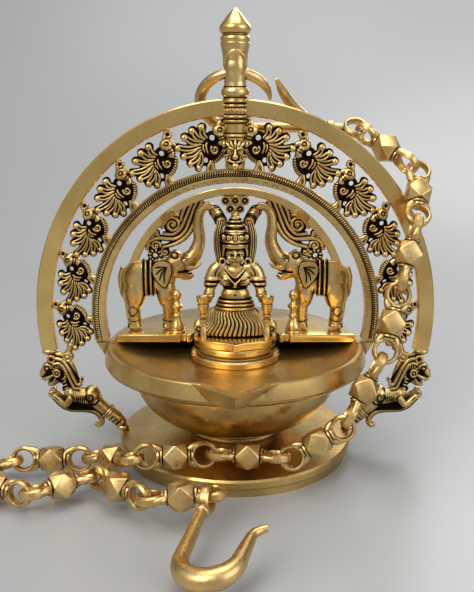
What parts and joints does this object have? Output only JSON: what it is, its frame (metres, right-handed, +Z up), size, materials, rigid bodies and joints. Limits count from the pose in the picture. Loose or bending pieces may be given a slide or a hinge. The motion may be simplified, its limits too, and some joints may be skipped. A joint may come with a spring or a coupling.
{
  "type": "hanging chain oil lamp",
  "caption": "Cast brass hanging oil lamp: a spouted dish on a foot, arched surround with birds, a seated goddess and elephants, and a bead-link chain with a hook.",
  "frame": {"origin": "centre of the foot's underside, on the table", "axes": "+Z up the lamp's post, -Y out of the front towards the pouring lip, +X to the side the chain hangs on"},
  "size_m": [0.2332, 0.2053, 0.2175],
  "materials": {
    "bowl_brass": "polished",
    "polished_brass": "polished",
    "ornament_brass": "satin",
    "chain_brass": "satin",
    "fixing_brass": "satin"
  },
  "bodies": {
    "lamp": {"foot": "bowl_brass", "pedestal": "bowl_brass", "dish": "bowl_brass", "centre_stud": "fixing_brass", "stud_nut": "fixing_brass", "seat_drum": "polished_brass", "seat_plinth": "polished_brass", "goddess": "polished_brass", "lotus_post_left": "polished_brass", "lotus_post_right": "polished_brass", "shelf": "polished_brass", "turned_post_left": "polished_brass", "turned_post_right": "polished_brass", "plaque_band": "ornament_brass", "elephant_left": "ornament_brass", "elephant_right": "ornament_brass", "scroll_left": "ornament_brass", "scroll_right": "ornament_brass", "flower_cluster": "ornament_brass", "corded_arch": "ornament_brass", "outer_band": "polished_brass", "peacock_01": "ornament_brass", "peacock_02": "ornament_brass", "peacock_03": "ornament_brass", "peacock_04": "ornament_brass", "peacock_05": "ornament_brass", "peacock_06": "ornament_brass", "peacock_07": "ornament_brass", "peacock_08": "ornament_brass", "peacock_09": "ornament_brass", "peacock_10": "ornament_brass", "peacock_11": "ornament_brass", "peacock_12": "ornament_brass", "tie_bead_left": "ornament_brass", "tie_bead_right": "ornament_brass", "yali_left": "ornament_brass", "yali_right": "ornament_brass", "top_post": "polished_brass", "finial": "polished_brass", "lion_face": "ornament_brass"},
    "suspension_hook": {"suspension_hook": "chain_brass"},
    "link_01": {"link_01": "chain_brass"},
    "link_02": {"link_02": "chain_brass"},
    "link_03": {"link_03": "chain_brass"},
    "link_04": {"link_04": "chain_brass"},
    "link_05": {"link_05": "chain_brass"},
    "link_06": {"link_06": "chain_brass"},
    "link_07": {"link_07": "chain_brass"},
    "link_08": {"link_08": "chain_brass"},
    "link_09": {"link_09": "chain_brass"},
    "link_10": {"link_10": "chain_brass"},
    "link_11": {"link_11": "chain_brass"},
    "link_12": {"link_12": "chain_brass"},
    "link_13": {"link_13": "chain_brass"},
    "link_14": {"link_14": "chain_brass"},
    "link_15": {"link_15": "chain_brass"},
    "ceiling_hook": {"ceiling_hook": "chain_brass"}
  },
  "joints": [
    {"name": "suspension_hook_swing", "type": "hinge", "parent": "lamp", "child": "suspension_hook", "pos_m": [0, 0, 0.188], "axis": [-1, 0, 0], "range_deg": [0, 10]},
    {"name": "link_01_bend", "type": "hinge", "parent": "suspension_hook", "child": "link_01", "pos_m": [0.06533, 0.01787, 0.15926], "axis": [-0.7033, -0.5445, -0.4569], "range_deg": [0, 20]},
    {"name": "link_02_swing", "type": "hinge", "parent": "link_01", "child": "link_02", "pos_m": [0.08413, 0.00471, 0.14601], "axis": [-0.7033, -0.5445, -0.4569], "range_deg": [0, 20]},
    {"name": "link_03_bend", "type": "hinge", "parent": "link_02", "child": "link_03", "pos_m": [0.08396, -0.02139, 0.11882], "axis": [-0.9624, 0.0973, 0.2537], "range_deg": [0, 20]},
    {"name": "link_04_swing", "type": "hinge", "parent": "link_03", "child": "link_04", "pos_m": [0.07676, -0.02997, 0.0948], "axis": [-0.9624, 0.0973, 0.2537], "range_deg": [0, 20]},
    {"name": "link_05_bend", "type": "hinge", "parent": "link_04", "child": "link_05", "pos_m": [0.06511, -0.04358, 0.05915], "axis": [-0.8678, 0.1777, 0.464], "range_deg": [0, 20]},
    {"name": "link_06_swing", "type": "hinge", "parent": "link_05", "child": "link_06", "pos_m": [0.05195, -0.05118, 0.03745], "axis": [-0.8678, 0.1777, 0.464], "range_deg": [0, 20]},
    {"name": "link_07_bend", "type": "hinge", "parent": "link_06", "child": "link_07", "pos_m": [0.01895, -0.05403, 0.01846], "axis": [0.0221, 0.2523, 0.9674], "range_deg": [0, 20]},
    {"name": "link_08_swing", "type": "hinge", "parent": "link_07", "child": "link_08", "pos_m": [-0.00745, -0.05172, 0.01846], "axis": [0.0221, 0.2523, 0.9674], "range_deg": [0, 20]},
    {"name": "link_09_bend", "type": "hinge", "parent": "link_08", "child": "link_09", "pos_m": [-0.04733, -0.05534, 0.01799], "axis": [0.1377, -0.2368, -0.9617], "range_deg": [0, 20]},
    {"name": "link_10_swing", "type": "hinge", "parent": "link_09", "child": "link_10", "pos_m": [-0.06694, -0.03888, 0.01113], "axis": [0.1377, -0.2368, -0.9617], "range_deg": [0, 20]},
    {"name": "link_11_bend", "type": "hinge", "parent": "link_10", "child": "link_11", "pos_m": [-0.10679, -0.03948, 0.00868], "axis": [0.2326, -0.2326, -0.9444], "range_deg": [0, 20]},
    {"name": "link_12_swing", "type": "hinge", "parent": "link_11", "child": "link_12", "pos_m": [-0.12553, -0.05822, 0.00868], "axis": [0.2326, -0.2326, -0.9444], "range_deg": [0, 20]},
    {"name": "link_13_bend", "type": "hinge", "parent": "link_12", "child": "link_13", "pos_m": [-0.08814, -0.07111, 0.00973], "axis": [0.1438, -0.2054, -0.9681], "range_deg": [0, 20]},
    {"name": "link_14_swing", "type": "hinge", "parent": "link_13", "child": "link_14", "pos_m": [-0.06643, -0.05591, 0.00973], "axis": [0.1438, -0.2054, -0.9681], "range_deg": [0, 20]},
    {"name": "link_15_bend", "type": "hinge", "parent": "link_14", "child": "link_15", "pos_m": [-0.03582, -0.08135, 0.01251], "axis": [0.0861, -0.1583, -0.9836], "range_deg": [0, 20]},
    {"name": "ceiling_hook_swing", "type": "hinge", "parent": "link_15", "child": "ceiling_hook", "pos_m": [-0.00942, -0.08135, 0.01482], "axis": [-0.0861, 0.1583, 0.9836], "range_deg": [-15, 30]}
  ]
}
